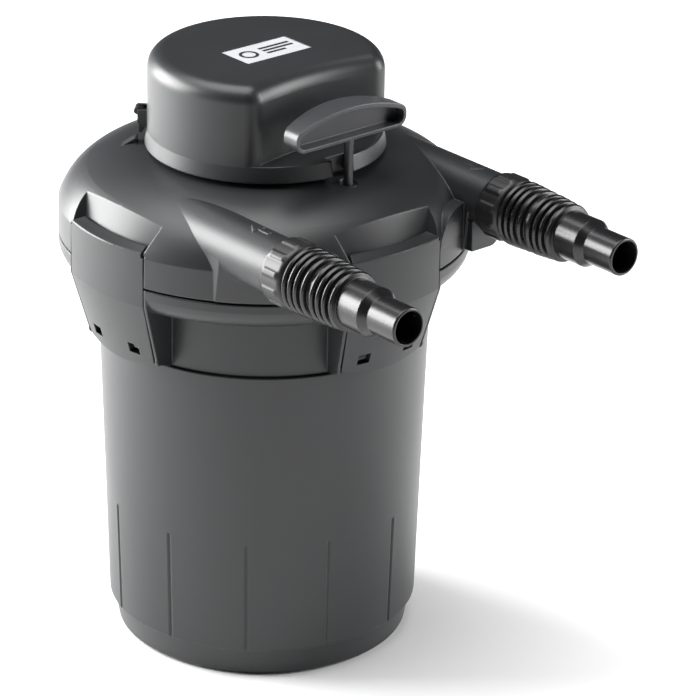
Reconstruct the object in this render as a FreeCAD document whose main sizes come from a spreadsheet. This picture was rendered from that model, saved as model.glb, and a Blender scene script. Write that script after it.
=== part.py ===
import FreeCAD, Part
import math
import os
from FreeCAD import Placement, Rotation, Vector

# External pressure filter for a garden pond: a round container, a domed lid with two
# parallel hose connections held by four latches, a lamp head on top and a T-handle
# that squeezes the foam rings clean.  Millimetres, +Z up, -Y is the side that the
# hose connections point to, origin at the centre of the container's bottom face.

doc = FreeCAD.newDocument("pond_filter")
sheet = doc.addObject("Spreadsheet::Sheet", "sheet")


class Dim:
    """A size: its value, and the spreadsheet expression that gives it."""

    def __init__(self, value, text):
        self.value = value
        self.text = text

    def __add__(self, other):
        other = dim(other)
        return Dim(self.value + other.value, f"({self.text} + {other.text})")

    def __radd__(self, other):
        return dim(other) + self

    def __sub__(self, other):
        other = dim(other)
        return Dim(self.value - other.value, f"({self.text} - {other.text})")

    def __rsub__(self, other):
        return dim(other) - self

    def __mul__(self, factor):
        factor = dim(factor)
        return Dim(self.value * factor.value, f"({self.text} * {factor.text})")

    def __rmul__(self, factor):
        return self * factor

    def __neg__(self):
        return self * -1


def dim(size):
    return size if isinstance(size, Dim) else Dim(float(size), f"({float(size)})")


cells = 0


def cell(alias, value):
    """Write one driving dimension into the sheet and return it as a Dim."""
    global cells
    cells += 1
    sheet.set(f"A{cells}", alias.replace("_", " "))
    sheet.set(f"B{cells}", str(value))
    sheet.setAlias(f"B{cells}", alias)
    return Dim(float(value), f"sheet.{alias}")


# ---------------------------------------------------------------- driving dimensions

wall = cell("wall_thickness", 3)
lid_wall = cell("lid_wall", 4)

# container
floor_r = cell("floor_radius", 98.4)
foot_top_r = cell("foot_top_radius", 101.5)
foot_z = cell("foot_height", 20.6)
body_low_r = cell("body_low_radius", 104.2)
body_top_r = cell("body_top_radius", 109.9)
ledge_z = cell("ledge_height", 221.6)
edge_round = cell("edge_round", 1.2)
band_r = cell("band_radius", 107.6)
lip_low_r = cell("lip_low_radius", 127.7)
lip_low_z = cell("lip_low_height", 265.4)
lip_r = cell("lip_radius", 136.3)
lip_break_z = cell("lip_break_height", 277.4)
lip_top_z = cell("lip_top_height", 283.3)
channel_z = cell("channel_floor_height", 268.8)
floor_wall = cell("floor_thickness", 4)
groove_width = cell("groove_width", 3.0)
groove_top_z = cell("groove_top_height", 98)

# lid
lid_low_z = cell("lid_low_height", 284.9)
skirt_top_z = cell("skirt_top_height", 305)
dome_r1 = cell("dome_lower_bend", 44)
dome_mid_r = cell("dome_middle_radius", 117)
dome_mid_z = cell("dome_middle_height", 327.9)
dome_r2 = cell("dome_upper_bend", 95)
dome_top_r = cell("dome_top_radius", 80)
dome_top_z = cell("dome_top_height", 339.5)
neck_r = cell("neck_bore_radius", 62.5)
neck_z = cell("neck_top_height", 340.6)
neck_low_z = cell("neck_low_height", 300)
seal_rib_r = cell("seal_rib_radius", 113.5)
seal_rib_z = cell("seal_rib_height", 274)

# hose connections
pipe_x = cell("pipe_offset", 90)
pipe_z = cell("pipe_height", 317)
pipe_r = cell("pipe_radius", 19)
pipe_bore_r = cell("pipe_bore_radius", 15)
pipe_root_y = cell("pipe_root", 30)
pipe_face_y = cell("pipe_face", 128.7)
spigot_r = cell("spigot_radius", 17.6)
spigot_y = cell("spigot_end", 139)
gasket_y = cell("pipe_gasket_end", 141)
tail_flange_r = cell("tail_flange_radius", 18.6)
tail_flange_y = cell("tail_flange_end", 144)
nut_r = cell("nut_radius", 22.3)
nut_back_y = cell("nut_back", 129.6)
nut_front_y = cell("nut_front", 149)
run_gap = cell("running_gap", 0.06)
shank_r = cell("shank_radius", 17)
tail_end_y = cell("tail_end", 246)
step_two_r = cell("large_step_radius", 16)
step_two_y = cell("large_step_start", 196.7)
step_two_end_y = cell("large_step_finish", 216)
step_one_r = cell("small_step_radius", 12.5)
step_one_y = cell("small_step_start", 221.4)
tail_bore_r = cell("tail_bore_radius", 10.75)

# latches
latch_half = cell("latch_half_width", 37.6)
latch_gap = cell("latch_gap", 0.8)
cheek_width = cell("cheek_width", 1.8)
pin_half = cell("latch_pin_half_length", 34.9)
latch_low_half = cell("latch_low_half_width", 33)
latch_lean_z = cell("latch_lean_height", 271.3)
latch_low_r = cell("latch_low_radius", 121.7)
latch_low_z = cell("latch_low_height", 222)
latch_corner_z = cell("latch_corner_height", 227.5)
latch_top_z = cell("latch_top_height", 308.5)
latch_crest_z = cell("latch_crest_height", 310.4)
latch_crest_r = cell("latch_crest_radius", 127.9)
latch_wall = cell("latch_wall", 4.2)
latch_back_r = cell("latch_seat_radius", 129.4)
hinge_r = cell("hinge_distance", 116.2)
hinge_z = cell("hinge_height", 229.3)
hinge_pin_r = cell("hinge_pin_radius", 1.2)
window_x = cell("window_offset", 19)
window_width = cell("window_width", 9.4)
window_z = cell("window_height_above_base", 231.2)
window_height = cell("window_height", 7.3)

# lamp head
head_low_z = cell("head_low_height", 343)
head_foot_r = cell("head_foot_radius", 79.2)
head_r = cell("head_radius", 77.4)
head_step_z = cell("head_step_height", 354)
head_top_z = cell("head_top_height", 406)
head_wall = cell("head_wall", 2.8)
scoop_r = cell("scoop_radius", 190)
scoop_y = cell("scoop_depth", 48.5)
head_corner_r = cell("head_corner_round", 12)
head_edge_r = cell("head_edge_round", 11)
notch_half = cell("rod_notch_half_width", 8.5)
label_length = cell("label_length", 52)
label_width = cell("label_width", 27)
label_depth = cell("label_depth", 0.8)
plate_r = cell("base_plate_radius", 74.2)
plate_z = cell("base_plate_height", 343.4)
plate_thick = cell("base_plate_thickness", 4)
catch_r = cell("catch_pin_distance", 81.5)
catch_z = cell("catch_pin_height", 357)
CATCH_ANGLE = 135.5

# cleaning handle
rod_y = cell("rod_offset", 83.6)
rod_r = cell("rod_radius", 3)
rod_low_z = cell("rod_low_height", 17)
grip_low_z = cell("grip_low_height", 369.2)
grip_tip_x = cell("grip_tip", 45.9)
grip_flat_x = cell("grip_flat", 39.5)
grip_shoulder_x = cell("grip_shoulder", 42.6)
grip_shoulder_z = cell("grip_shoulder_height", 383.9)
grip_tip_z = cell("grip_tip_height", 377.2)
grip_arch_r = cell("grip_arch_radius", 121)
grip_end_r = cell("grip_end_radius", 7.4)
grip_face_y = cell("grip_face", 86.8)
grip_end_depth = cell("grip_end_depth", 13.5)
grip_back_r = cell("grip_back_radius", 195)
grip_rim = cell("grip_rim", 2.2)
grip_hollow = cell("grip_hollow_depth", 8.5)

# foam stack
carrier_r = cell("carrier_radius", 26)
carrier_top_z = cell("carrier_top_height", 284)
foam_r = cell("foam_radius", 78)
foam_low_z = cell("foam_low_height", 30)
foam_height = cell("foam_height", 40)
plate_rim_r = cell("press_plate_radius", 92)
press_thick = cell("press_plate_thickness", 4)
FOAMS = 5

# lamp
sleeve_r = cell("sleeve_radius", 17)
sleeve_low_z = cell("sleeve_low_height", 74)

doc.recompute()


# ---------------------------------------------------------------- helpers

def place(item, x=0, y=0, z=0, axis=(0, 0, 1), angle=0):
    """Turn an object about an axis, then move it; the move is bound to the sheet."""
    item.Placement = Placement(Vector(0, 0, 0), Rotation(Vector(*axis), angle))
    for letter, distance in (("x", x), ("y", y), ("z", z)):
        item.setExpression(f"Placement.Base.{letter}", dim(distance).text)
    return item


def turn_about_z(item, angle):
    item.Placement = Placement(Vector(0, 0, 0), Rotation(Vector(0, 0, 1), angle))
    return item


def spun(name, item, angle):
    """An object carried round the Z axis, on top of its own placement."""
    holder = doc.addObject("Part::Compound", name)
    holder.Links = [item]
    return turn_about_z(holder, angle)


def cylinder(name, radius, height, **where):
    item = doc.addObject("Part::Cylinder", name)
    item.setExpression("Radius", dim(radius).text)
    item.setExpression("Height", dim(height).text)
    return place(item, **where)


def cone(name, radius_low, radius_top, height, **where):
    item = doc.addObject("Part::Cone", name)
    item.setExpression("Radius1", dim(radius_low).text)
    item.setExpression("Radius2", dim(radius_top).text)
    item.setExpression("Height", dim(height).text)
    return place(item, **where)


def block(name, low, high):
    """A box from its lowest to its highest corner."""
    item = doc.addObject("Part::Box", name)
    for side, a, b in zip(("Length", "Width", "Height"), low, high):
        item.setExpression(side, (dim(b) - a).text)
    return place(item, *low)


def torus(name, ring_radius, section_radius, **where):
    item = doc.addObject("Part::Torus", name)
    item.setExpression("Radius1", dim(ring_radius).text)
    item.setExpression("Radius2", dim(section_radius).text)
    return place(item, **where)


def cut(name, base, tool):
    item = doc.addObject("Part::Cut", name)
    item.Base = base
    item.Tool = tool
    return item


def fuse(name, *items):
    item = doc.addObject("Part::MultiFuse", name)
    item.Shapes = list(items)
    return item


def common(name, *items):
    item = doc.addObject("Part::MultiCommon", name)
    item.Shapes = list(items)
    return item


def tube(name, radius, bore, height, **where):
    outside = cylinder(name + "_outside", radius, height, **where)
    inside = cylinder(name + "_inside", bore, height, **where)
    return cut(name, outside, inside)


def fillet(name, base, radius, chosen):
    """Round the edges of base whose middle point satisfies chosen(point)."""
    doc.recompute()
    item = doc.addObject("Part::Fillet", name)
    item.Base = base
    edges = []
    for number, edge in enumerate(base.Shape.Edges, 1):
        middle = edge.valueAt((edge.FirstParameter + edge.LastParameter) / 2)
        if edge.Length > 0.01 and chosen(middle):
            edges.append((number, radius, radius))
    item.Edges = edges
    return item


def bend(radius, side):
    """An outline step: the way to the next corner is an arc of this radius.
    side is 1 for an arc whose centre lies left of the direction of travel."""
    return ("bend", dim(radius), side)


def outline_sketch(body, plane_role, outline):
    """A closed sketch through the given corners, each bound to the sheet."""
    sketch = body.newObject("Sketcher::SketchObject", body.Name + "_outline")
    plane = [part for part in body.Origin.OriginFeatures if part.Role == plane_role][0]
    sketch.AttachmentSupport = (plane, "")
    sketch.MapMode = "FlatFace"

    corners = []
    bends = {}
    for step in outline:
        if step[0] == "bend":
            bends[len(corners) - 1] = step
        else:
            corners.append((dim(step[0]), dim(step[1])))

    count = len(corners)
    for number, (across, up) in enumerate(corners):
        start = Vector(across.value, up.value, 0)
        next_across, next_up = corners[(number + 1) % count]
        end = Vector(next_across.value, next_up.value, 0)
        if number in bends:
            radius, side = bends[number][1:]
            chord = end - start
            reach = math.sqrt(radius.value ** 2 - (chord.Length / 2) ** 2)
            left = Vector(-chord.y, chord.x, 0).normalize()
            centre = (start + end) * 0.5 + left * (reach * side)
            through = centre + (left * (-side * radius.value))
            sketch.addGeometry(Part.Arc(start, through, end), False)
        else:
            sketch.addGeometry(Part.LineSegment(start, end), False)

    # an arc always runs anticlockwise, so its ends are found by position
    def end_index(geometry, point):
        first = sketch.getPoint(geometry, 1)
        return 1 if first.distanceToPoint(point) < 1e-6 else 2

    import Sketcher
    for number, (across, up) in enumerate(corners):
        point = Vector(across.value, up.value, 0)
        before = (number - 1) % count
        here = end_index(number, point)
        sketch.addConstraint(Sketcher.Constraint(
            "Coincident", before, end_index(before, point), number, here))
        for kind, axis, size in (("DistanceX", -2, across), ("DistanceY", -1, up)):
            if size.value == 0:
                sketch.addConstraint(Sketcher.Constraint("PointOnObject", number, here, axis))
                continue
            index = sketch.addConstraint(Sketcher.Constraint(
                kind, -1, 1, number, here, size.value))
            sketch.setExpression(f"Constraints[{index}]", size.text)
        if number in bends:
            radius = bends[number][1]
            index = sketch.addConstraint(Sketcher.Constraint("Radius", number, radius.value))
            sketch.setExpression(f"Constraints[{index}]", radius.text)
    return sketch


def turned(name, outline):
    """A body of revolution about Z from an outline of (radius, height) corners."""
    body = doc.addObject("PartDesign::Body", name)
    sketch = outline_sketch(body, "XZ_Plane", outline)
    turn = body.newObject("PartDesign::Revolution", name + "_turn")
    turn.Profile = sketch
    turn.ReferenceAxis = (sketch, ["V_Axis"])
    turn.Angle = 360
    sketch.Visibility = False
    return body


def slab(name, outline, thickness, **where):
    """An outline of (x, y) corners padded along +Z, then placed."""
    body = doc.addObject("PartDesign::Body", name)
    sketch = outline_sketch(body, "XY_Plane", outline)
    pad = body.newObject("PartDesign::Pad", name + "_pad")
    pad.Profile = sketch
    pad.setExpression("Length", dim(thickness).text)
    return place(body, **where)


def upright(name, outline, back_y, depth):
    """An outline of (x, z) corners, padded from y = back_y towards -Y."""
    return slab(name, outline, depth, y=back_y, axis=(1, 0, 0), angle=90)


def sub_part(item, label):
    item.Label = label
    sub_parts.append(item)
    return item


sub_parts = []
SIDES = (("front", 0), ("right", 90), ("rear", 180), ("left", 270))


# ---------------------------------------------------------------- container

def sector_outline(low_angle, high_angle):
    """Corners of a ring sector, with angles measured from the front."""
    corners = []
    for angle, reach in ((low_angle, lip_r - 46), (low_angle, lip_r + 14),
                         (high_angle, lip_r + 14), (high_angle, lip_r - 46)):
        angle = math.radians(angle)
        corners.append((reach * math.sin(angle), reach * -math.cos(angle)))
    return corners


def latch_sectors(name, low_angle, high_angle, low_z, high_z):
    """Wedges between two angles, measured from the middle of each latch."""
    wedges = []
    for label, turn in SIDES:
        wedge = slab(f"{name}_{label}", sector_outline(low_angle, high_angle),
                     high_z - low_z, z=low_z)
        wedges.append(spun(f"{name}_{label}_turned", wedge, turn))
    return wedges


def latch_bands(name, half, low_z, high_z):
    """Two crossed bars as wide as the latches."""
    reach = lip_r + 5
    return fuse(name,
                block(name + "_along", (-half, -reach, low_z), (half, reach, high_z)),
                block(name + "_across", (-reach, -half, low_z), (reach, half, high_z)))


def build_container():
    inner_low = floor_r - wall
    shell = turned("container_shell", [
        (0, 0), (floor_r - 4, 0), bend(4, 1), (floor_r, 4),
        (foot_top_r, foot_z), (body_low_r - edge_round, foot_z), bend(edge_round, 1),
        (body_low_r, foot_z + edge_round), (body_top_r, ledge_z - edge_round),
        bend(edge_round, 1), (body_top_r - edge_round, ledge_z), (band_r, ledge_z),
        (band_r, lip_low_z), (lip_low_r, lip_low_z), bend(16, 1), (lip_r, lip_break_z),
        (lip_r, lip_top_z - 1), bend(1, 1), (lip_r - 1, lip_top_z),
        (lip_r - wall, lip_top_z), (lip_r - wall, lip_break_z), (lip_low_r - 1.5, channel_z),
        (band_r + 0.8, channel_z), (band_r + 0.8, lip_top_z), (band_r - wall, lip_top_z),
        (band_r - wall, ledge_z + 3), (body_top_r - wall, ledge_z - 4),
        (body_low_r - wall, foot_z + 3), (inner_low + 3, foot_z - 0.6),
        (inner_low, floor_wall), (0, floor_wall)])

    # side cheeks of the latches, flush with the latches' outer face
    behind_lip_r = latch_back_r - wall
    zone = turned("cheek_zone", [
        (band_r - 2, ledge_z + 0.4), (112, ledge_z + 1), (120, latch_corner_z - 1.5),
        bend(3.6, 1), (124.2, latch_corner_z + 3), (lip_r, latch_lean_z),
        (lip_r, lip_top_z), (behind_lip_r, lip_top_z), (behind_lip_r, lip_low_z + 1.6),
        (band_r - 2, lip_low_z + 1.6)])
    walls = fuse("cheek_walls",
                 *latch_sectors("cheek_wall_a", 16.35, 17.1, dim(215), dim(290)),
                 *latch_sectors("cheek_wall_b", -17.1, -16.35, dim(215), dim(290)))
    cheeks = common("cheeks", zone, walls)

    # the lip is open in front of each latch, with a wall behind it
    opening = common("lip_openings",
                     tube("lip_opening_ring", lip_r + 4, latch_back_r, 40, z=lip_low_z - 10),
                     fuse("lip_opening_wedges",
                          *latch_sectors("lip_opening", -16.7, 16.7, dim(250), dim(300))))
    backs = common("lip_backs",
                   tube("lip_back_ring", latch_back_r, latch_back_r - wall,
                        lip_top_z - lip_low_z - 1, z=lip_low_z + 1),
                   latch_bands("lip_back_bars", latch_half + latch_gap + cheek_width, 250, 300))

    # shallow upright grooves round the lower wall, with bevelled edges and round tops
    groove_sets = []
    slope = (body_top_r.value - body_low_r.value) / (ledge_z.value - foot_z.value)
    for kind, width, depth in (("bevel", groove_width, 0.35), ("floor", groove_width * 0.45, 0.9)):
        bars = []
        for number in range(12):
            name = f"groove_{kind}_{number}"
            bar = block(name, (body_low_r - 6, width * -0.5, foot_z - 4),
                        (body_top_r + 6, width * 0.5, groove_top_z))
            top = cylinder(name + "_top", width * 0.5, 20, x=body_low_r - 6, z=groove_top_z,
                           axis=(0, 1, 0), angle=90)
            pair = fuse(name + "_pair", bar, top)
            bars.append(spun(name + "_spun", pair, 15 + 30 * number))
        rise = (groove_top_z - foot_z) * slope
        skin = turned(f"groove_skin_{kind}", [
            (body_low_r - depth, foot_z), (body_low_r + 12, foot_z),
            (body_low_r + 12, groove_top_z + 3), (body_low_r + rise - depth, groove_top_z + 3)])
        groove_sets.append(common(f"grooves_{kind}", skin, fuse(f"groove_bars_{kind}", *bars)))

    opened = cut("container_opened", shell, opening)
    whole = fuse("container_whole", opened, cheeks, backs)
    bores = []
    bore_half = pin_half + 0.1
    for number in range(2):
        way = 1 if number else -1
        bores.append(cylinder(f"hinge_bore_{number}", hinge_pin_r, bore_half * 2,
                              x=-bore_half, y=hinge_r * way, z=hinge_z,
                              axis=(0, 1, 0), angle=90))
        bores.append(cylinder(f"hinge_bore_{number + 2}", hinge_pin_r, bore_half * 2,
                              y=bore_half, x=hinge_r * way, z=hinge_z,
                              axis=(1, 0, 0), angle=90))
    bore_zone = tube("hinge_bore_zone", 140, band_r + 1, 12, z=hinge_z - 6)
    holes = common("hinge_holes", bore_zone, fuse("hinge_bores", *bores))
    sub_part(cut("container", whole, fuse("container_cuts", holes, *groove_sets)),
             "container")


# ---------------------------------------------------------------- lid

def build_lid():
    shell = turned("lid_shell", [
        (neck_r, neck_z), (neck_r + 10, neck_z), (dome_top_r, dome_top_z),
        bend(dome_r2, -1), (dome_mid_r, dome_mid_z), bend(dome_r1, -1),
        (lip_r - 0.3, skirt_top_z), (lip_r, lid_low_z), (lip_r - lid_wall, lid_low_z),
        (lip_r - lid_wall - 0.3, skirt_top_z), bend(dome_r1 - lid_wall, 1),
        (114.9, 324.5), (seal_rib_r, 325.3), (seal_rib_r, seal_rib_z),
        (seal_rib_r - lid_wall, seal_rib_z), (seal_rib_r - lid_wall, 327.3),
        bend(dome_r2 - lid_wall, 1), (dome_top_r, dome_top_z - lid_wall),
        (neck_r + lid_wall, neck_z - lid_wall), (neck_r + lid_wall, neck_low_z),
        (neck_r, neck_low_z)])

    # solid seats behind the latches
    pocket_half = latch_half + latch_gap
    seat_ring = turned("seat_ring", [
        (121.3, lid_low_z), (134.3, lid_low_z), (134, 304), (127, 317),
        (117, 325.9), (113, 325.9), (114.5, 320), (121.3, 306)])
    seats = common("latch_seats", seat_ring,
                   latch_bands("seat_bars", pocket_half + 4, 280, 340))

    # raised shoulders beside the front latch, running into the hose connections
    shoulder_form = fuse("shoulder_forms", *[
        upright(f"shoulder_form_{number}", [
            (side * 39.2, 298), (side * 39.2, 302.5), bend(30, -side),
            (side * 44, 311.9), bend(18, -side), (side * 50.1, 317.5), bend(24, -side),
            (side * 60.3, 319.4), bend(38, -side), (side * 72, 317.8), (side * 73, 298)],
                -88, 50)
        for number, side in enumerate((-1, 1))])
    shoulders = common("shoulders", shoulder_form,
                       tube("shoulder_ring", lip_r, lip_r - 34, 32, z=lid_low_z + 13.5))

    pipes = []
    bores = []
    pads = []
    for number, side in enumerate((-1, 1)):
        x = pipe_x * side
        along = {"x": x, "z": pipe_z, "axis": (1, 0, 0), "angle": 90}
        pipes.append(cylinder(f"pipe_{number}", pipe_r, pipe_face_y - pipe_root_y,
                              y=-pipe_root_y, **along))
        pipes.append(cylinder(f"pipe_spigot_{number}", spigot_r, spigot_y - 120,
                              y=-120, **along))
        bores.append(cylinder(f"pipe_bore_{number}", pipe_bore_r, 140, y=-10, **along))

        # the skirt stands out a little below the connection
        pads.append(block(f"pad_block_{number}", (x - 18.9, -145, lid_low_z - 5),
                          (x + 18.9, -60, pipe_z)))

        # raised arrow on the top of the connection: into the filter, or out of it
        way = side
        tip_y = -105 + way * -9
        arrow = slab(f"arrow_{number}", [
            (x - 1.6, tip_y + way * 18), (x + 1.6, tip_y + way * 18),
            (x + 1.6, tip_y + way * 8), (x + 5.5, tip_y + way * 8), (x, tip_y),
            (x - 5.5, tip_y + way * 8), (x - 1.6, tip_y + way * 8)], 12, z=pipe_z + 10)
        pipes.append(common(f"raised_arrow_{number}", arrow, cylinder(
            f"arrow_skin_{number}", pipe_r + 0.6, 60, y=-80, **along)))

    guide = cylinder("rod_guide", 9, 18, y=-rod_y, z=318)

    pad_ring = turned("pad_ring", [
        (120, lid_low_z), (137.1, lid_low_z), (139.5, pipe_z - 5), (139.5, pipe_z - 0.5),
        (120, pipe_z - 0.5)])
    pipe_pads = common("pipe_pads", pad_ring, fuse("pad_blocks", *pads))
    bracket = upright("outlet_bracket", [
        (pipe_x - 16, 306), (pipe_x - 16, lid_low_z), (pipe_x, lid_low_z), bend(8, 1),
        (pipe_x + 8, lid_low_z + 8), (pipe_x + 8, 306)], -92, 30)

    # a small ramp just outside the head's catch
    ramp = spun("catch_ramp", upright("catch_ramp_form", [
        (84.6, 334), (96, 334), (95.5, 336.4), (85.8, 342.6), (84.6, 342.6)], 4, 8),
                CATCH_ANGLE)

    # room for each latch: a notch in the skirt and a wedge cut out of the dome
    notch = common("latch_notches",
                   tube("notch_ring", lip_r + 6, latch_back_r, 40, z=lid_low_z - 5),
                   latch_bands("notch_bars", pocket_half, lid_low_z - 5, 306.4))
    wedges = []
    for label, angle in SIDES:
        wedges.append(turn_about_z(wedge_tool(f"wedge_{label}"), angle))

    filled = fuse("lid_filled", shell, seats, shoulders, pipe_pads, bracket, ramp, guide,
                  *pipes)
    tools = fuse("lid_tools", notch, *wedges, *bores,
                 cylinder("guide_bore", 6, 40, y=-rod_y, z=310))
    sub_part(cut("lid", filled, tools), "lid")


def wedge_tool(name):
    """The wedge above the front latch: a bowed steep panel between two slanting cheeks."""

    def side_x(y, z):
        return 39 - 0.544 * (y + 117) + 0.615 * (z - 322.5)

    wires = []
    for z in (306, 345):
        panel_y = -117 - 0.352 * (322.5 - z)
        bow = 3.8
        near = side_x(panel_y, z)
        far = side_x(-152, z)
        left = Vector(-near, panel_y, z)
        right = Vector(near, panel_y, z)
        wires.append(Part.Wire([
            Part.Arc(left, Vector(0, panel_y - bow, z), right).toShape(),
            Part.LineSegment(right, Vector(far, -152, z)).toShape(),
            Part.LineSegment(Vector(far, -152, z), Vector(-far, -152, z)).toShape(),
            Part.LineSegment(Vector(-far, -152, z), left).toShape()]))
    item = doc.addObject("Part::Feature", name)
    item.Shape = Part.makeLoft(wires, True, True)
    return item


def build_lid_seal():
    sub_part(tube("lid_seal", seal_rib_r + 0.6, band_r + 1.2, seal_rib_z - channel_z,
                  z=channel_z), "lid_seal")


# ---------------------------------------------------------------- latches

def build_latches():
    for label, angle in SIDES:
        ring = turned(f"latch_ring_{label}", [
            (latch_low_r, latch_low_z), (lip_r, latch_lean_z), (lip_r, latch_top_z - 1),
            bend(1.5, 1), (lip_r - 1.4, latch_top_z), (latch_crest_r, latch_crest_z),
            (latch_crest_r, latch_crest_z - 3.2), (lip_r - latch_wall - 0.4, latch_top_z - 2.4),
            (lip_r - latch_wall, latch_lean_z), (latch_low_r - latch_wall, latch_low_z)])
        mask = upright(f"latch_mask_{label}", [
            (-latch_low_half, latch_corner_z), bend(101.8, 1), (latch_low_half, latch_corner_z),
            (latch_half, latch_lean_z), (latch_half, 320), (-latch_half, 320),
            (-latch_half, latch_lean_z)], -100, 60)
        crest = slab(f"latch_corners_{label}", [
            (-latch_half + 1, -132), (-30.9, -121.4), (-30.9, -110), (30.9, -110),
            (30.9, -121.4), (latch_half - 1, -132), (latch_half - 1, -145),
            (-latch_half + 1, -145)], 20, z=305)
        lower = block(f"latch_lower_{label}", (-60, -145, 215), (60, -90, 305))
        trim = fuse(f"latch_trim_{label}", crest, lower)
        sector = slab(f"latch_sector_{label}", sector_outline(-16.05, 16.05), 120, z=210)
        plate = common(f"latch_plate_{label}", ring, mask, trim, sector)
        windows = []
        for number, side in enumerate((-1, 1)):
            x = window_x * side
            windows.append(block(f"latch_window_{label}_{number}",
                                 (x - window_width * 0.5, -140, window_z),
                                 (x + window_width * 0.5, -100, window_z + window_height)))
        bore = cylinder(f"latch_bore_{label}", hinge_pin_r + run_gap, 100, x=-50, y=-hinge_r,
                        z=hinge_z, axis=(0, 1, 0), angle=90)
        latch = cut(f"latch_{label}", plate, fuse(f"latch_holes_{label}", bore, *windows))
        sub_part(turn_about_z(latch, angle), f"latch_{label}")

    pins = []
    for label, angle in SIDES:
        pin = cylinder(f"latch_pin_{label}", hinge_pin_r, pin_half * 2, x=-pin_half,
                       y=-hinge_r, z=hinge_z, axis=(0, 1, 0), angle=90)
        pins.append(spun(f"latch_pin_turned_{label}", pin, angle))
    sub_part(fuse("latch_pins", *pins), "latch_pins")


# ---------------------------------------------------------------- hose connections

def build_connections():
    rib_steps = [(151.0, 22.0), (156.2, 21.8), (161.4, 21.5), (167.9, 21.2),
                 (176.0, 20.9), (181.3, 20.5), (186.7, 20.1), (193.0, 19.6)]
    for number, (label, side) in enumerate((("inlet", -1), ("outlet", 1))):
        along = {"x": pipe_x * side, "z": pipe_z, "axis": (1, 0, 0), "angle": 90}

        outline = [(pipe_bore_r - 1, gasket_y), (tail_flange_r, gasket_y),
                   (tail_flange_r, tail_flange_y), (shank_r, tail_flange_y), (shank_r, 150.2)]
        for start, crest in rib_steps:
            outline += [(crest - 3.4, start), (crest - 0.9, start + 0.4), bend(0.9, 1),
                        (crest - 0.2, start + 1.6), (crest - 0.9, start + 3.0),
                        (crest - 3.4, start + 3.6)]
        outline += [(step_two_r, step_two_y), (step_two_r, step_two_end_y),
                    (step_one_r, step_one_y), (step_one_r, tail_end_y - 1), bend(1, 1),
                    (step_one_r - 1, tail_end_y), (tail_bore_r, tail_end_y),
                    (tail_bore_r, step_one_y - 4), (pipe_bore_r - 1, step_two_end_y - 14)]
        tail = turned(f"{label}_hose_tail", outline)
        sub_part(place(tail, **along), f"{label}_hose_tail")

        nut = turned(f"{label}_nut_blank", [
            (spigot_r + run_gap, nut_back_y), (nut_r - 0.8, nut_back_y), bend(0.8, 1),
            (nut_r, nut_back_y + 0.8), (nut_r, nut_front_y - 2.2), bend(2.4, 1),
            (nut_r - 2.2, nut_front_y), (shank_r + run_gap, nut_front_y),
            (shank_r + run_gap, tail_flange_y + 0.3), (tail_flange_r + 0.2, tail_flange_y + 0.3),
            (tail_flange_r + 0.2, spigot_y), (spigot_r + run_gap, spigot_y)])
        flats = []
        for flat in range(9):
            tool = block(f"{label}_flat_{flat}", (nut_r - 0.9, -7, 128), (nut_r + 4, 7, 145.5))
            flats.append(spun(f"{label}_flat_turned_{flat}", tool, 40 * flat + 12))
        faced = cut(f"{label}_union_nut", nut, fuse(f"{label}_flats", *flats))
        sub_part(place(faced, **along), f"{label}_union_nut")

        ring = tube(f"{label}_union_gasket", spigot_r - 0.2, pipe_bore_r - 1,
                    gasket_y - spigot_y, y=-spigot_y, **along)
        sub_part(ring, f"{label}_union_gasket")


# ---------------------------------------------------------------- lamp head

def scooped(name, radius, scoop_offset, low_z, high_z, corner, edge):
    """The head's plan shape: a disc with a shallow hollow in its front, rounded over."""
    disc = cylinder(name + "_disc", radius, high_z - low_z, z=low_z)
    hollow = cylinder(name + "_hollow", scoop_r + scoop_offset, 120,
                      y=-(scoop_y + scoop_r), z=low_z - 20)
    bare = cut(name + "_bare", disc, hollow)
    middle = (low_z.value + high_z.value) / 2
    cornered = fillet(name + "_cornered", bare, corner,
                      lambda p: abs(p.z - middle) < 1 and p.y < -30 and abs(p.x) > 30)
    return fillet(name + "_edged", cornered, edge, lambda p: p.z > high_z.value - 0.1)


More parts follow.
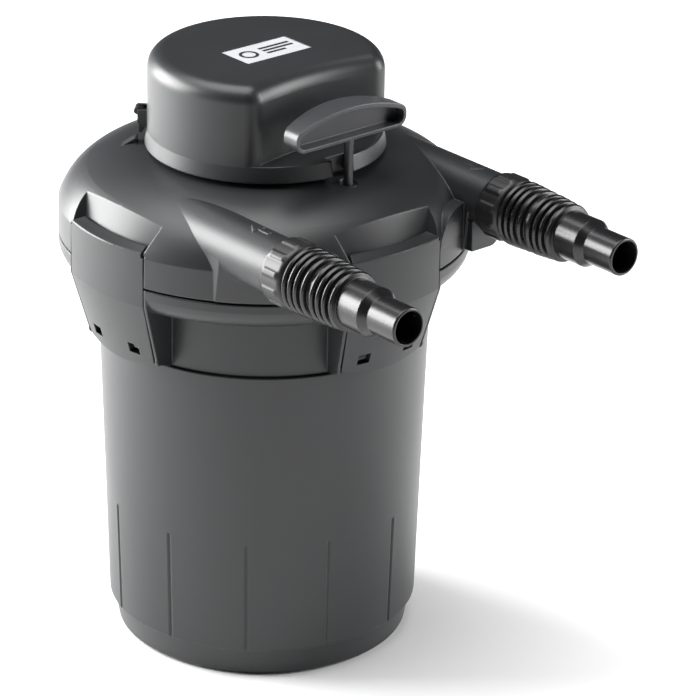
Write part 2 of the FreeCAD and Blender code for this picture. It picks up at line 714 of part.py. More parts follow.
def build_head():
    upper = scooped("head_form", head_r, 0, head_step_z - 1, head_top_z,
                    head_corner_r.value, head_edge_r.value)
    ring = turned("head_ring", [
        (0, head_low_z), (head_foot_r - 0.6, head_low_z), (head_foot_r, head_low_z + 0.6),
        (head_r + 0.6, head_step_z - 4), (head_r, head_step_z - 0.8), bend(0.8, 1),
        (head_r - 0.8, head_step_z), (0, head_step_z)])
    inner_top = scooped("head_hollow", head_r - head_wall, head_wall,
                        head_low_z + 2, head_top_z - head_wall,
                        head_corner_r.value - 3, head_edge_r.value - 3)
    inner_low = cylinder("head_hollow_low", head_r - head_wall,
                         head_step_z - head_wall - head_low_z + 5, z=head_low_z - 5)
    notch = block("rod_notch", (-notch_half, -90, head_low_z - 2),
                  (notch_half, -70, head_step_z + 2))
    label_seat = block("label_seat", (-0.5 * label_length - 0.4, -0.5 * label_width - 0.4,
                                      head_top_z - label_depth),
                       (0.5 * label_length + 0.4, 0.5 * label_width + 0.4, head_top_z + 1))

    bosses = []
    boss_bores = []
    screws = []
    plate_holes = []
    for number, angle in enumerate((30, 150, 210, 330)):
        x = 71.8 * math.cos(math.radians(angle))
        y = 71.8 * math.sin(math.radians(angle))
        bosses.append(cylinder(f"screw_boss_{number}", 3.4, 40, x=x, y=y,
                               z=plate_z + plate_thick))
        boss_bores.append(cylinder(f"boss_bore_{number}", 1.4, 14, x=x, y=y,
                                   z=plate_z + plate_thick))
        plate_holes.append(cylinder(f"plate_hole_{number}", 1.4, 20, x=x, y=y, z=plate_z - 5))
        shank = cylinder(f"screw_shank_{number}", 1.4, 16, x=x, y=y, z=plate_z)
        head = cylinder(f"screw_head_{number}", 2.2, 1.7, x=x, y=y, z=plate_z - 1.7)
        screws.append(fuse(f"screw_{number}", shank, head))

    # locking lug at the back left, with two ears for the catch lever
    lug = cut("lug_ears",
              upright("lug_block", [
                  (head_r - 2.6, 351), (head_r + 0.2, 351), (head_r + 6.2, 355),
                  (head_r + 6.2, 363.5), (head_r - 2.6, 363.5)], 7, 14),
              block("lug_slot", (head_r + 0.5, -4.75, head_low_z), (head_r + 14, 4.75, 370)))
    lug_bored = cut("lug_bored", lug, cylinder(
        "lug_bore", 1.2, 12.4, x=catch_r, y=6.2, z=catch_z, axis=(1, 0, 0), angle=90))
    lug_turned = spun("lug", lug_bored, CATCH_ANGLE)

    gland_boss = cylinder("gland_boss", 9.5, 8, y=head_r + 2, z=374, axis=(1, 0, 0), angle=90)
    gland_bore = cylinder("gland_bore", 6, 30, y=head_r + 6, z=374, axis=(1, 0, 0), angle=90)

    shell = cut("head_shell", fuse("head_outer", upper, ring),
                fuse("head_inner", inner_top, inner_low, notch, label_seat))
    notch_wall = cut("notch_wall",
                     common("notch_wall_form", ring_copy("notch_ring_copy"),
                            block("notch_wall_block",
                                  (-notch_half - 2.4, -90, head_low_z),
                                  (notch_half + 2.4, -67.6, head_step_z))),
                     block("notch_air", (-notch_half, -90, head_low_z - 2),
                           (notch_half, -70, head_step_z + 2)))
    dressed = fuse("head_dressed", shell, lug_turned, gland_boss, notch_wall, *bosses)
    sub_part(cut("head_cover", dressed, fuse("head_bores", gland_bore, *boss_bores)),
             "head_cover")

    sub_part(block("label_plate", (-0.5 * label_length, -0.5 * label_width,
                                   head_top_z - label_depth),
                   (0.5 * label_length, 0.5 * label_width, head_top_z - 0.2)), "label_plate")
    sub_part(fuse("head_screws", *screws), "head_screws")

    # base plate with the spigot that seats in the lid's neck and the lamp sleeve's collar
    base = turned("head_base_turned", [
        (sleeve_r + 0.5, plate_z + plate_thick), (plate_r, plate_z + plate_thick),
        (plate_r, plate_z), (neck_r - 0.3, plate_z), (neck_r - 0.3, 312),
        (neck_r - 4.3, 312), (neck_r - 4.3, plate_z), (23, plate_z), (23, 322),
        (sleeve_r + 0.5, 322)])
    plate_notch = block("plate_notch", (-notch_half - 2.8, -90, 330),
                        (notch_half + 2.8, -67.2, 360))
    sub_part(cut("head_base", base, fuse("plate_cuts", plate_notch, *plate_holes)),
             "head_base")
    gasket = tube("head_gasket_ring", 67.0, neck_r + 0.5, plate_z - neck_z, z=neck_z)
    sub_part(gasket, "head_gasket")

    # catch lever on the lug
    blade = upright("catch_blade", [
        (head_r + 1.9, 360.6), (head_r + 1.9, 350), (head_r + 3.8, 347),
        (head_r + 5.6, 347.4), (head_r + 6, 361), (head_r + 4, 363)], 4.4, 8.8)
    knob = cylinder("catch_knob", 2.4, 8.8, x=head_r + 6.4, y=4.4, z=362,
                    axis=(1, 0, 0), angle=90)
    lever_bore = cylinder("catch_bore", 1.2 + 0.06, 20, x=catch_r, y=10, z=catch_z,
                          axis=(1, 0, 0), angle=90)
    catch = cut("catch_bored", fuse("catch_lever", blade, knob), lever_bore)
    sub_part(spun("head_catch_turned", catch, CATCH_ANGLE), "head_catch")
    catch_pin = cylinder("catch_pin_blank", 1.2, 12.2, x=catch_r, y=6.1, z=catch_z,
                         axis=(1, 0, 0), angle=90)
    sub_part(spun("catch_pin", catch_pin, CATCH_ANGLE), "catch_pin")

    # cable gland at the back of the head, without a cable
    gland = turned("cable_gland_turned", [
        (3.6, -10), (5.9, -10), (5.9, 4), (8.6, 4), (8.6, 6.5), (6.4, 6.5), (6.4, 12),
        (3.6, 12)])
    sub_part(place(gland, y=head_r - 2, z=374, axis=(1, 0, 0), angle=-90), "cable_gland")
    cap = turned("gland_nut_turned", [
        (6.45, 6.5), (8.8, 6.5), (8.8, 15), bend(3, 1), (6.2, 18), (3.6, 18), (3.6, 12.2),
        (6.45, 12.2)])
    cap_flats = [spun(f"gland_flat_turned_{flat}", block(
        f"gland_flat_{flat}", (8.1, -6, 6), (12, 6, 14.5)), 60 * flat) for flat in range(6)]
    sub_part(place(cut("gland_nut", cap, fuse("gland_flats", *cap_flats)), y=head_r - 2,
                   z=374, axis=(1, 0, 0), angle=-90), "gland_nut")


def ring_copy(name):
    return turned(name, [
        (40, head_low_z), (head_foot_r - 0.6, head_low_z), (head_foot_r, head_low_z + 0.6),
        (head_r + 0.6, head_step_z - 4), (head_r, head_step_z - 0.8),
        (head_r - 0.8, head_step_z), (40, head_step_z)])


def build_lamp():
    board_z = plate_z + plate_thick
    standoffs = [cylinder(f"board_post_{number}", 2.5, 4, x=x, y=y, z=board_z)
                 for number, (x, y) in enumerate(((-34, 28), (34, 28), (-34, 52), (34, 52)))]
    board = block("board_sheet", (-38, 25, board_z + 4), (38, 55, board_z + 5.6))
    sub_part(fuse("circuit_board", board, *standoffs), "circuit_board")
    sub_part(block("ballast", (-30, 29, board_z + 5.6), (18, 51, board_z + 27)), "ballast")
    sub_part(fuse("lamp_socket",
                  block("lamp_socket_top", (-17, -11, board_z), (17, 11, board_z + 14)),
                  block("lamp_socket_stem", (-11, -6, board_z - 18), (11, 6, board_z))),
             "lamp_socket")
    tubes = [cylinder(f"lamp_tube_{number}", 5.8, 226, x=side * 6.6, z=94)
             for number, side in enumerate((-1, 1))]
    bridge = block("lamp_bridge", (-3, -3, 100), (3, 3, 106))
    foot = block("lamp_foot", (-12.4, -6, 318), (12.4, 6, board_z - 18))
    sub_part(fuse("uvc_lamp", foot, bridge, *tubes), "uvc_lamp")

    sleeve = turned("quartz_sleeve", [
        (0, sleeve_low_z), (sleeve_r - 8, sleeve_low_z), bend(8, 1),
        (sleeve_r, sleeve_low_z + 8), (sleeve_r, 342), (sleeve_r - 1.6, 342),
        (sleeve_r - 1.6, sleeve_low_z + 8), bend(6.4, -1), (sleeve_r - 8, sleeve_low_z + 1.6),
        (0, sleeve_low_z + 1.6)])
    sub_part(sleeve, "quartz_sleeve")
    sub_part(tube("sleeve_seal", 22.5, sleeve_r, 4, z=318), "sleeve_seal")
    sub_part(turned("sleeve_nut", [
        (sleeve_r + 0.5, 312), (27, 312), (27, 334), (23, 334), (23, 318),
        (sleeve_r + 0.5, 318)]), "sleeve_nut")


# ---------------------------------------------------------------- cleaning handle

def build_handle():
    arch = [(-grip_flat_x, grip_low_z), (grip_flat_x, grip_low_z), bend(grip_end_r, 1),
            (grip_tip_x, grip_tip_z), bend(grip_end_r, 1),
            (grip_shoulder_x, grip_shoulder_z), bend(grip_arch_r, 1),
            (-grip_shoulder_x, grip_shoulder_z), bend(grip_end_r, 1),
            (-grip_tip_x, grip_tip_z), bend(grip_end_r, 1)]
    front_view = upright("grip_front_view", arch, -60, 40)
    back_y = -grip_face_y + grip_end_depth
    plan = slab("grip_plan", [
        (-50, -grip_face_y), (50, -grip_face_y), (50, back_y - 0.8),
        bend(grip_back_r, 1), (-50, back_y - 0.8)], 60, z=350)
    body = common("grip_body", front_view, plan)
    rounded = fillet("grip_rounded", body, 1.4,
                     lambda p: p.y > back_y.value - 2)
    rim = grip_rim
    hollow = upright("grip_hollow", [
        (-grip_flat_x + 0.8, grip_low_z + rim), (grip_flat_x - 0.8, grip_low_z + rim),
        bend(grip_end_r - rim, 1), (grip_tip_x - rim, grip_tip_z), bend(grip_end_r - rim, 1),
        (grip_shoulder_x - 1.7, grip_shoulder_z - rim - 0.4), bend(grip_arch_r - rim, 1),
        (-grip_shoulder_x + 1.7, grip_shoulder_z - rim - 0.4), bend(grip_end_r - rim, 1),
        (-grip_tip_x + rim, grip_tip_z), bend(grip_end_r - rim, 1)],
        -grip_face_y + grip_hollow, 40)
    rod_seat = cylinder("grip_rod_seat", rod_r, 20, y=-rod_y, z=355)
    sub_part(cut("handle_grip", rounded, fuse("grip_cuts", hollow, rod_seat)),
             "handle_grip")

    sub_part(cylinder("pull_rod", rod_r, grip_low_z + rim - rod_low_z, y=-rod_y,
                      z=rod_low_z), "pull_rod")
    sub_part(tube("rod_bush", 6, rod_r + run_gap, 16.2, y=-rod_y, z=322), "rod_bush")
    sub_part(tube("rod_seal", 6, rod_r + run_gap, 4, y=-rod_y, z=318), "rod_seal")
    sub_part(tube("rod_nut", 6.5, rod_r, foam_low_z - press_thick - 20, y=-rod_y, z=20),
             "rod_nut")


# ---------------------------------------------------------------- foam stack

def plate_with_slots(name, bore, z):
    """A round plate that lets water through; the rod passes near its rim."""
    disc = tube(name + "_disc", plate_rim_r, bore, press_thick, z=z)
    slots = []
    for number in range(12):
        bar = block(f"{name}_slot_{number}", (36, -3, z - 2), (72, 3, z + press_thick + 2))
        slots.append(spun(f"{name}_slot_turned_{number}", bar, 15 + 30 * number))
    return disc, slots


def build_foams():
    carrier = turned("carrier_turned", [
        (carrier_r - 2.5, floor_wall), (40, floor_wall), (40, floor_wall + 3),
        (carrier_r, floor_wall + 3), (carrier_r, carrier_top_z),
        (carrier_r - 2.5, carrier_top_z)])
    slots = []
    for row in range(4):
        low = 36 + row * 48
        for number in range(4):
            bar = block(f"carrier_slot_{row}_{number}", (-40, -3.5, low), (40, 3.5, low + 36))
            slots.append(spun(f"carrier_slot_turned_{row}_{number}", bar, 22.5 + 45 * number))
    sub_part(cut("foam_carrier", carrier, fuse("carrier_slots", *slots)), "foam_carrier")

    disc, slots = plate_with_slots("press_plate", carrier_r + 0.4, foam_low_z - press_thick)
    hole = cylinder("press_plate_hole", rod_r, 40, y=-rod_y, z=foam_low_z - 20)
    sub_part(cut("press_plate", disc, fuse("press_plate_cuts", hole, *slots)), "press_plate")

    top_z = foam_low_z + foam_height * FOAMS
    disc, slots = plate_with_slots("top_plate", carrier_r, top_z)
    hole = cylinder("top_plate_hole", rod_r + 1, 40, y=-rod_y, z=top_z - 20)
    sub_part(cut("top_plate", disc, fuse("top_plate_cuts", hole, *slots)), "top_plate")

    for number in range(FOAMS):
        name = f"foam_ring_{number + 1}"
        sub_part(tube(name, foam_r, carrier_r + 0.5, foam_height,
                      z=foam_low_z + foam_height * number), name)


def build_duct():
    """The clean-water duct from the carrier's mouth to the outlet."""
    z = 286.5
    end_x = pipe_x
    end_y = -16
    angle = math.degrees(math.atan2(end_y, pipe_x.value))
    reach = math.hypot(end_y, pipe_x.value)
    across = {"axis": (0, 1, 0), "angle": 90}
    parts = {}
    for kind, grow in (("outer", 2), ("inner", 0)):
        run = cylinder(f"duct_run_{kind}", 10 + grow, reach, z=z, **across)
        turned_run = spun(f"duct_run_turned_{kind}", run, angle)
        riser = cylinder(f"duct_riser_{kind}", 10 + grow, pipe_z - z, x=end_x, y=end_y, z=z)
        knee = doc.addObject("Part::Sphere", f"duct_knee_{kind}")
        knee.Radius = 10.3 + grow
        place(knee, x=end_x, y=end_y, z=z)
        elbow = doc.addObject("Part::Sphere", f"duct_elbow_{kind}")
        elbow.Radius = 10.3 + grow
        place(elbow, x=end_x, y=end_y, z=pipe_z)
        mouth = cylinder(f"duct_mouth_{kind}", 10 + grow, pipe_root_y + end_y + 6, x=end_x,
                         y=end_y, z=pipe_z, axis=(1, 0, 0), angle=90)
        parts[kind] = [turned_run, riser, knee, elbow, mouth]
    cup = cylinder("duct_cup", carrier_r + 3.5, 28, z=274)
    cup_inner = cylinder("duct_cup_inner", carrier_r - 2.5, 26, z=272)
    cup_seat = cylinder("duct_cup_seat", carrier_r, carrier_top_z - 272, z=272)
    sleeve_hole = cylinder("duct_sleeve_hole", sleeve_r + 0.3, 40, z=280)
    outer = fuse("duct_outer", cup, *parts["outer"])
    inner = fuse("duct_inner", cup_inner, cup_seat, sleeve_hole, *parts["inner"])
    sub_part(cut("outlet_duct", outer, inner), "outlet_duct")


# ---------------------------------------------------------------- build and write

build_container()
build_lid()
build_lid_seal()
build_latches()
build_connections()
build_head()
build_lamp()
build_handle()
build_foams()
build_duct()

doc.recompute()

problems = []
for item in doc.Objects:
    if "Invalid" in item.State or "Error" in item.State:
        problems.append(f"{item.Name}: {item.State}")
for item in sub_parts:
    shape = item.Shape
    if shape.isNull() or not shape.isValid() or not shape.Solids or shape.Volume <= 0:
        problems.append(f"{item.Label}: bad shape")
if problems:
    raise RuntimeError("\n".join(problems))

os.makedirs("parts", exist_ok=True)
for item in sub_parts:
    item.Shape.exportStep(f"parts/{item.Label}.step")
    box = item.Shape.BoundBox
    print(f"{item.Label:20s} solids {len(item.Shape.Solids):2d}  volume "
          f"{item.Shape.Volume / 1000:8.2f} cm3  z {box.ZMin:7.2f} to {box.ZMax:7.2f}")
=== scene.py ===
import math

import bmesh
import bpy
from mathutils import Matrix, Quaternion, Vector


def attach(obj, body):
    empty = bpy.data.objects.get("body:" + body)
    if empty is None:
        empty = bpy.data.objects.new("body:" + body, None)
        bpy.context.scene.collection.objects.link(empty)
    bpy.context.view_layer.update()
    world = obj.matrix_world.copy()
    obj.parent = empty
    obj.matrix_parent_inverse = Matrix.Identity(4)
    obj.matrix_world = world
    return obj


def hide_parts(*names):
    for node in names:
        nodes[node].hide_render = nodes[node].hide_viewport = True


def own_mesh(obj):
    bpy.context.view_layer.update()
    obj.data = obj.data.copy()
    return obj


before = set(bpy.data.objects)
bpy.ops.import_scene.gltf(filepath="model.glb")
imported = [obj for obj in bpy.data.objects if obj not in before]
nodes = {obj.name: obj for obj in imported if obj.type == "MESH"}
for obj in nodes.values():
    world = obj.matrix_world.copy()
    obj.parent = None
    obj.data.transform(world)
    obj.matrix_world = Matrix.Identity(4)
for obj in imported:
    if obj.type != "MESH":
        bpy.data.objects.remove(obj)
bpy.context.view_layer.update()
print("frame loaded:", len(nodes), "nodes")


# shader maths: an expression on values adds its Math nodes
class Value:
    def __init__(self, tree, socket=None):
        self.tree = tree
        self.socket = socket

    def make(self, kind, settings=None, inputs=None, output=0):
        node = self.tree.nodes.new(kind)
        for name, setting in (settings or {}).items():
            if name == "stops":
                ramp = node.color_ramp
                while len(ramp.elements) < len(setting):
                    ramp.elements.new(1.0)
                for element, (place, color) in zip(ramp.elements, setting):
                    element.position = place
                    element.color = color
            else:
                setattr(node, name, setting)
        for name, value in (inputs or {}).items():
            target = node.inputs[name]
            if isinstance(value, Value):
                self.tree.links.new(value.socket, target)
            else:
                target.default_value = value
        return Value(self.tree, node.outputs[output] if node.outputs else None)

    def calc(self, operation, *values):
        return self.make("ShaderNodeMath", {"operation": operation}, dict(enumerate(values)))

    def __add__(self, other): return self.calc("ADD", self, other)
    def __radd__(self, other): return self.calc("ADD", other, self)
    def __sub__(self, other): return self.calc("SUBTRACT", self, other)
    def __rsub__(self, other): return self.calc("SUBTRACT", other, self)
    def __mul__(self, other): return self.calc("MULTIPLY", self, other)
    def __rmul__(self, other): return self.calc("MULTIPLY", other, self)

    def between(self, low, high):
        return self.make("ShaderNodeMapRange", {"clamp": True, "interpolation_type": "SMOOTHSTEP"},
                         {"Value": self, "From Min": low, "From Max": high})


def newMaterial(name):
    material = bpy.data.materials.new(name)
    material.use_nodes = True
    material.node_tree.nodes.clear()
    return material, Value(material.node_tree)


def noise(value, where, scale, detail=2.0, rough=0.5):
    return value.make("ShaderNodeTexNoise", {}, {"Vector": where, "Scale": scale, "Detail": detail,
                                                 "Roughness": rough})


def mixColor(value, factor, colorA, colorB):
    return value.make("ShaderNodeMix", {"data_type": "RGBA"}, {0: factor, 6: colorA, 7: colorB}, 2)


def finishSurface(value, inputs):
    surface = value.make("ShaderNodeBsdfPrincipled", {}, inputs)
    value.make("ShaderNodeOutputMaterial", {}, {"Surface": surface})


plasticDriftPerMetre = 9.0
plasticMarksPerMetre = 160.0


def mouldedPlastic(name, look):
    # fine spark-eroded grain, edges softened and mixed towards a paler colour as a painted
    # highlight, slow drift in sheen
    material, value = newMaterial(name)
    where = value.make("ShaderNodeTexCoord", output="Object")
    grain = noise(value, where, look["grainPerMetre"], 3.0, 0.6)
    drift = noise(value, where, plasticDriftPerMetre, 3.0, 0.55)
    marks = noise(value, where, plasticMarksPerMetre, 4.0, 0.7).between(0.55, 0.8)
    soft = value.make("ShaderNodeBevel", {"samples": 6}, {"Radius": look["edgeRadius"]})
    flat = value.make("ShaderNodeNewGeometry", output="Normal")
    turn = value.make("ShaderNodeVectorMath", {"operation": "DOT_PRODUCT"},
                      {0: soft, 1: flat}, "Value")
    edge = (1.0 - turn).between(0.02, 0.3)
    tone = mixColor(value, drift.between(0.3, 0.7), look["colorDeep"], look["color"])
    # painted highlight: the softened edges are mixed towards a paler colour in the base colour
    color = mixColor(value, edge * look["edgeHighlightStrength"], tone, look["edgeHighlightColor"])
    rough = look["rough"] + (drift - 0.5) * 0.10 + marks * 0.05 + edge * 0.05
    normal = value.make("ShaderNodeBump", {}, {"Height": grain, "Distance": look["grainDepth"],
                                               "Strength": 1.0, "Normal": soft})
    finishSurface(value, {"Base Color": color, "Roughness": rough, "Normal": normal,
                          "Specular IOR Level": look.get("shine", 0.5)})
    return material


# each look's paler edge colour and its share are a painted edge highlight, strongest on the grip
housingLook = {"color": (0.016, 0.017, 0.019, 1), "colorDeep": (0.013, 0.014, 0.015, 1),
               "edgeHighlightColor": (0.075, 0.077, 0.082, 1), "edgeHighlightStrength": 0.6, "rough": 0.40,
               "grainPerMetre": 1500.0, "grainDepth": 0.00003, "edgeRadius": 0.0012}
latchLook = dict(housingLook, color=(0.015, 0.016, 0.018, 1), colorDeep=(0.012, 0.013, 0.014, 1),
                 rough=0.40, edgeRadius=0.0010)
gripLook = dict(housingLook, color=(0.044, 0.045, 0.049, 1), colorDeep=(0.038, 0.039, 0.042, 1),
                edgeHighlightColor=(0.20, 0.205, 0.21, 1), rough=0.33, grainDepth=0.000015,
                edgeRadius=0.0010)
fittingLook = dict(housingLook, color=(0.009, 0.009, 0.010, 1), colorDeep=(0.007, 0.007, 0.008, 1),
                   edgeHighlightColor=(0.040, 0.040, 0.043, 1), rough=0.27, grainDepth=0.000004,
                   edgeRadius=0.0006)
nutLook = dict(fittingLook, rough=0.42, edgeRadius=0.0004)
rodLook = dict(gripLook, rough=0.3, edgeRadius=0.0004)
rubberLook = dict(fittingLook, rough=0.6, grainDepth=0.00001)


def metalMaterial(name, look):
    # drawn or rolled metal: fine lines one way, worked out on the object's own axes
    material, value = newMaterial(name)
    where = value.make("ShaderNodeTexCoord", output="Object")
    stretched = value.make("ShaderNodeMapping", {}, {"Vector": where, "Scale": look["lineScale"]})
    lines = noise(value, stretched, 1.0, 4.0, 0.65)
    cloud = noise(value, where, 60.0, 3.0)
    color = mixColor(value, lines.between(0.3, 0.7), look["color"], look["colorLine"])
    rough = look["rough"] + (lines - 0.5) * 0.15 + (cloud - 0.5) * 0.12
    normal = value.make("ShaderNodeBump", {}, {"Height": lines, "Distance": look["lineDepth"],
                                               "Strength": 1.0})
    finishSurface(value, {"Base Color": color, "Roughness": rough, "Metallic": look["metallic"],
                          "Normal": normal})
    return material


def boardMaterial(name):
    # green laminate with copper lands
    material, value = newMaterial(name)
    where = value.make("ShaderNodeTexCoord", output="Object")
    lands = value.make("ShaderNodeTexVoronoi", {"distance": "MANHATTAN"},
                       {"Vector": where, "Scale": 260.0}, "Distance").between(0.28, 0.22)
    weave = noise(value, where, 900.0, 2.0)
    color = mixColor(value, lands, (0.015, 0.11, 0.045, 1), (0.55, 0.3, 0.12, 1))
    normal = value.make("ShaderNodeBump", {}, {"Height": lands + weave * 0.3, "Distance": 0.00005,
                                               "Strength": 1.0})
    finishSurface(value, {"Base Color": color, "Roughness": 0.45 - lands * 0.15,
                          "Metallic": lands, "Normal": normal})
    return material


def clearMaterial(name, tint, cloudiness):
    # quartz: clear, with a thin film of lime that thickens in patches
    material, value = newMaterial(name)
    where = value.make("ShaderNodeTexCoord", output="Object")
    film = noise(value, where, 45.0, 4.0, 0.6).between(0.35, 0.8)
    finishSurface(value, {"Base Color": tint, "Roughness": 0.04 + film * 0.2,
                          "Alpha": cloudiness + film * 0.15})
    return material


def foamMaterial(name, look):
    # open cells: pores darkened with painted shade over a rough skin
    material, value = newMaterial(name)
    where = value.make("ShaderNodeTexCoord", output="Object")
    cells = value.make("ShaderNodeTexVoronoi", {},
                       {"Vector": where, "Scale": look["cellsPerMetre"]}, "Distance")
    pores = cells.between(0.45, 0.1)
    patch = noise(value, where, 30.0, 3.0)
    tone = mixColor(value, patch.between(0.3, 0.7), look["color"], look["colorPale"])
    # painted shade: the pore hollows are mixed towards a dark colour
    color = mixColor(value, pores, tone, look["poreShadeColor"])
    normal = value.make("ShaderNodeBump", {"invert": True}, {"Height": pores, "Distance": 0.0008,
                                                            "Strength": 1.0})
    finishSurface(value, {"Base Color": color, "Roughness": 0.95 - patch * 0.1, "Normal": normal})
    return material


housingPlastic = mouldedPlastic("housingPlastic", housingLook)
latchPlastic = mouldedPlastic("latchPlastic", latchLook)
gripPlastic = mouldedPlastic("gripPlastic", gripLook)
fittingPlastic = mouldedPlastic("fittingPlastic", fittingLook)
nutPlastic = mouldedPlastic("nutPlastic", nutLook)
rodPlastic = mouldedPlastic("rodPlastic", rodLook)
sealRubber = mouldedPlastic("sealRubber", rubberLook)
printInk = mouldedPlastic("printInk", dict(fittingLook, rough=0.5))
brightSteel = metalMaterial("brightSteel", {
    "color": (0.52, 0.52, 0.53, 1), "colorLine": (0.66, 0.66, 0.67, 1), "rough": 0.28,
    "metallic": 1.0, "lineScale": (90, 90, 2500), "lineDepth": 0.000008})
labelSilver = metalMaterial("labelSilver", {
    "color": (0.50, 0.51, 0.53, 1), "colorLine": (0.58, 0.59, 0.61, 1), "rough": 0.42,
    "metallic": 0.25, "lineScale": (60, 2600, 60), "lineDepth": 0.000008})
boardGreen = boardMaterial("boardGreen")
quartzClear = clearMaterial("quartzClear", (0.9, 0.95, 1.0, 1), 0.22)
lampGlass = clearMaterial("lampGlass", (0.95, 0.96, 0.97, 1), 0.55)
# the dark pore colours below are painted shade in the cell hollows
foamLooks = {
    "coarse": {"color": (0.02, 0.07, 0.24, 1), "colorPale": (0.04, 0.11, 0.32, 1),
               "poreShadeColor": (0.004, 0.010, 0.030, 1), "cellsPerMetre": 420.0},
    "fine": {"color": (0.30, 0.045, 0.04, 1), "colorPale": (0.42, 0.08, 0.07, 1),
             "poreShadeColor": (0.05, 0.008, 0.008, 1), "cellsPerMetre": 800.0}}
foamMaterials = {kind: foamMaterial(kind + "Foam", look) for kind, look in foamLooks.items()}
print("materials ready")

nodeFinish = {
    housingPlastic: ["container", "lid", "head_cover", "head_base", "sleeve_nut", "rod_bush"],
    latchPlastic: ["latch_front", "latch_right", "latch_rear", "latch_left", "head_catch"],
    gripPlastic: ["handle_grip"],
    rodPlastic: ["pull_rod"],
    fittingPlastic: ["inlet_hose_tail", "outlet_hose_tail", "inlet_union_nut", "outlet_union_nut",
                     "cable_gland", "gland_nut", "lamp_socket", "rod_nut",
                     "foam_carrier", "press_plate", "top_plate", "outlet_duct"],
    sealRubber: ["lid_seal", "inlet_union_gasket", "outlet_union_gasket", "head_gasket",
                 "sleeve_seal", "rod_seal"],
    brightSteel: ["latch_pins", "head_screws", "catch_pin", "ballast"],
    labelSilver: ["label_plate"],
    boardGreen: ["circuit_board"],
    quartzClear: ["quartz_sleeve"],
    lampGlass: ["uvc_lamp"],
}
for material, names in nodeFinish.items():
    for name in names:
        for slot in nodes[name].material_slots:
            slot.material = material


# ---- pieces -------------------------------------------------------------

def newPiece(name, shape, material, body, replaced=()):
    mesh = bpy.data.meshes.new(name)
    bmesh.ops.remove_doubles(shape, verts=shape.verts, dist=1e-6)
    bmesh.ops.recalc_face_normals(shape, faces=shape.faces)
    for face in shape.faces:
        face.smooth = True
    shape.to_mesh(mesh)
    shape.free()
    piece = bpy.data.objects.new(name, mesh)
    bpy.context.scene.collection.objects.link(piece)
    mesh.materials.append(material)
    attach(piece, body)
    if replaced:
        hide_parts(*replaced)
    return piece


foamStack = {"outerRadius": 0.078, "innerRadius": 0.0267, "lowest": 0.030, "height": 0.040,
             "rounding": 0.0025, "lowGap": 0.0003, "bothGaps": 0.0006, "turnSteps": 72,
             "kinds": ["coarse", "fine", "coarse", "fine", "coarse"]}


def foamRings():
    look = foamStack
    for number, kind in enumerate(look["kinds"]):
        low = look["lowest"] + look["height"] * number + look["lowGap"]
        high = low + look["height"] - look["bothGaps"]
        shape = bmesh.new()
        corners = [shape.verts.new((radius, 0, height)) for radius, height in (
            (look["innerRadius"], low), (look["outerRadius"], low),
            (look["outerRadius"], high), (look["innerRadius"], high))]
        edges = [shape.edges.new((corners[n], corners[(n + 1) % 4])) for n in range(4)]
        bmesh.ops.bevel(shape, geom=edges + corners, offset=look["rounding"], segments=3,
                        profile=0.5, affect="VERTICES", material=-1)
        bmesh.ops.spin(shape, geom=shape.verts[:] + shape.edges[:], cent=(0, 0, 0),
                       axis=(0, 0, 1), angle=math.tau, steps=look["turnSteps"], use_merge=True)
        name = f"foam_ring_{number + 1}"
        piece = newPiece(f"foamRing{number + 1}", shape, foamMaterials[kind], "canister",
                         [name])
        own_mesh(piece)


foamRings()
print("foam rings ready")


unionNut = {"outerRadius": 0.0223, "flatDepth": 0.0010, "padCount": 11, "padShare": 0.30,
            "backY": -0.1298, "frontY": -0.1490, "padBackY": -0.1316, "padFrontY": -0.1462,
            "spigotRadius": 0.01768, "seatRadius": 0.0188, "shankRadius": 0.01706,
            "seatY": -0.1390, "shoulderY": -0.1443, "stepsPerPad": 16, "centreX": 0.090,
            "centreZ": 0.317, "padSlope": 0.16, "padRunOut": 0.0012, "backBreak": 0.0007,
            "backBreakLength": 0.0005, "flankStart": 0.0018, "flankEnd": 0.0028,
            "flankSteps": 12,
            "frontRounding": [(0.0018, 0.0003), (0.0008, 0.0010), (0.0002, 0.0020),
                              (0.0, 0.0029)]}


def nutRadius(look, angle, y, inset):
    # flats between rounded pads; the pads run out just before both ends of the nut
    turn = angle * look["padCount"] / math.tau
    away = abs(turn - round(turn)) * 2
    slope = look["padSlope"]
    rise = min(1.0, max(0.0, (look["padShare"] + slope - away) / slope))
    ends = min(look["padBackY"] - y, y - look["padFrontY"]) / look["padRunOut"]
    rise *= min(1.0, max(0.0, ends))
    rise = rise * rise * (3 - 2 * rise)
    return look["outerRadius"] - look["flatDepth"] * (1 - rise) - inset


def unionNuts():
    look = unionNut
    stations = [(look["backY"], look["backBreak"]),
                (look["backY"] - look["backBreakLength"], 0.0)]
    length = look["backY"] - look["frontY"] - look["flankStart"] - look["flankEnd"]
    stations += [(look["backY"] - look["flankStart"] - length * n / look["flankSteps"], 0.0)
                 for n in range(look["flankSteps"] + 1)]
    stations += [(look["frontY"] + ahead, inset) for ahead, inset in look["frontRounding"]]
    inside = [(look["shankRadius"], look["frontY"]), (look["shankRadius"], look["shoulderY"]),
              (look["seatRadius"], look["shoulderY"]), (look["seatRadius"], look["seatY"]),
              (look["spigotRadius"], look["seatY"]), (look["spigotRadius"], look["backY"])]
    steps = look["padCount"] * look["stepsPerPad"]
    for label, x in (("inlet", -look["centreX"]), ("outlet", look["centreX"])):
        shape = bmesh.new()
        columns = []
        for step in range(steps):
            angle = math.tau * step / steps
            rim = [(nutRadius(look, angle, y, inset), y) for y, inset in stations] + inside
            columns.append([
                shape.verts.new((x + radius * math.cos(angle), y,
                                 look["centreZ"] + radius * math.sin(angle)))
                for radius, y in rim])
        for step in range(steps):
            here, after = columns[step], columns[(step + 1) % steps]
            for n in range(len(here)):
                m = (n + 1) % len(here)
                shape.faces.new((here[n], here[m], after[m], after[n]))
        newPiece(label + "UnionNut", shape, nutPlastic, label + "_nut",
                 [label + "_union_nut"])


unionNuts()
print("union nuts ready")


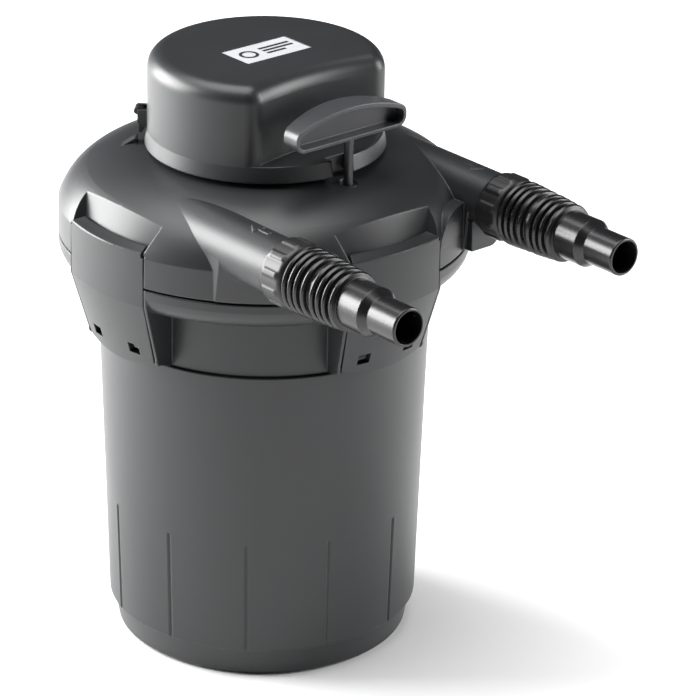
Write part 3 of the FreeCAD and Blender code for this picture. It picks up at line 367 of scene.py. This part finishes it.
emblem = {"centreX": -0.0145, "ringRadius": 0.0066, "lineWidth": 0.0021, "low": 0.40572,
          "high": 0.40592, "barLength": (0.0250, 0.0250, 0.0155), "barX": -0.0030,
          "barGap": 0.0046, "barWidth": 0.0024, "turnSteps": 48}


def labelEmblem():
    # a plain ring and three bars, printed on the label
    look = emblem
    shape = bmesh.new()
    corners = [shape.verts.new((look["centreX"] + radius, 0, height)) for radius, height in (
        (look["ringRadius"] - look["lineWidth"], look["low"]), (look["ringRadius"], look["low"]),
        (look["ringRadius"], look["high"]), (look["ringRadius"] - look["lineWidth"], look["high"]))]
    edges = [shape.edges.new((corners[n], corners[(n + 1) % 4])) for n in range(4)]
    bmesh.ops.spin(shape, geom=corners + edges, cent=(look["centreX"], 0, 0), axis=(0, 0, 1),
                   angle=math.tau, steps=look["turnSteps"], use_merge=True)
    for number, length in enumerate(look["barLength"]):
        middle = (look["barX"] + length / 2, look["barGap"] * (1 - number),
                  (look["low"] + look["high"]) / 2)
        size = (length, look["barWidth"], look["high"] - look["low"])
        bmesh.ops.create_cube(shape, size=1, matrix=Matrix.LocRotScale(
            Vector(middle), None, Vector(size)))
    piece = newPiece("labelEmblem", shape, printInk, "canister")
    for face in piece.data.polygons:
        face.use_smooth = False


labelEmblem()
print("label ready")


# ---- camera, floor and light -------------------------------------------

cameraSetting = {"place": (-1.5529, -1.8838, 1.2637), "aim": (0.0402, -0.0396, 0.1976),
                 "lens": 205.8, "roll": 0.976}


def makeCamera():
    setting = cameraSetting
    data = bpy.data.cameras.new("camera")
    data.lens = setting["lens"]
    data.clip_end = 50
    camera = bpy.data.objects.new("camera", data)
    camera.location = setting["place"]
    forward = Vector(setting["aim"]) - Vector(setting["place"])
    turn = forward.to_track_quat("-Z", "Y")
    roll = Quaternion((0, 0, 1), math.radians(setting["roll"]))
    camera.rotation_mode = "QUATERNION"
    camera.rotation_quaternion = turn @ roll
    bpy.context.scene.collection.objects.link(camera)
    bpy.context.scene.camera = camera


floorHalf = 14
floorDrop = 0.0005


def makeFloor():
    shape = bmesh.new()
    bmesh.ops.create_grid(shape, x_segments=1, y_segments=1, size=floorHalf)
    bmesh.ops.translate(shape, verts=shape.verts, vec=(0, 0, -floorDrop))
    mesh = bpy.data.meshes.new("floor")
    shape.to_mesh(mesh)
    shape.free()
    floor = bpy.data.objects.new("floor", mesh)
    bpy.context.scene.collection.objects.link(floor)
    material, value = newMaterial("floorPale")
    finishSurface(value, {"Base Color": (0.90, 0.90, 0.90, 1), "Roughness": 0.9})
    mesh.materials.append(material)


lightSetting = {
    "leftBox": {"place": (-1.35, 2.15, 0.95), "aim": (0, 0, 0.2), "size": (2.2, 1.7), "power": 250},
    "rightBox": {"place": (2.05, -1.65, 1.0), "aim": (0, 0, 0.2), "size": (1.2, 1.8), "power": 85},
    "topBox": {"place": (-0.3, 0.4, 2.9), "aim": (0, 0, 0.2), "size": (2.4, 2.4), "power": 105}}
worldStrength = 0.05


def makeLights():
    for name, setting in lightSetting.items():
        data = bpy.data.lights.new(name, "AREA")
        data.shape = "RECTANGLE"
        data.size, data.size_y = setting["size"]
        data.energy = setting["power"]
        light = bpy.data.objects.new(name, data)
        light.location = setting["place"]
        aim = Vector(setting["aim"]) - Vector(setting["place"])
        light.rotation_mode = "QUATERNION"
        light.rotation_quaternion = aim.to_track_quat("-Z", "Y")
        bpy.context.scene.collection.objects.link(light)


def makeWorld():
    world = bpy.data.worlds.new("studio")
    world.use_nodes = True
    world.node_tree.nodes["Background"].inputs["Color"].default_value = (1, 1, 1, 1)
    world.node_tree.nodes["Background"].inputs["Strength"].default_value = worldStrength
    bpy.context.scene.world = world
    bpy.context.scene.view_settings.view_transform = "Standard"


makeCamera()
makeFloor()
makeLights()
makeWorld()
print("camera, floor and lights ready")

bpy.context.view_layer.update()
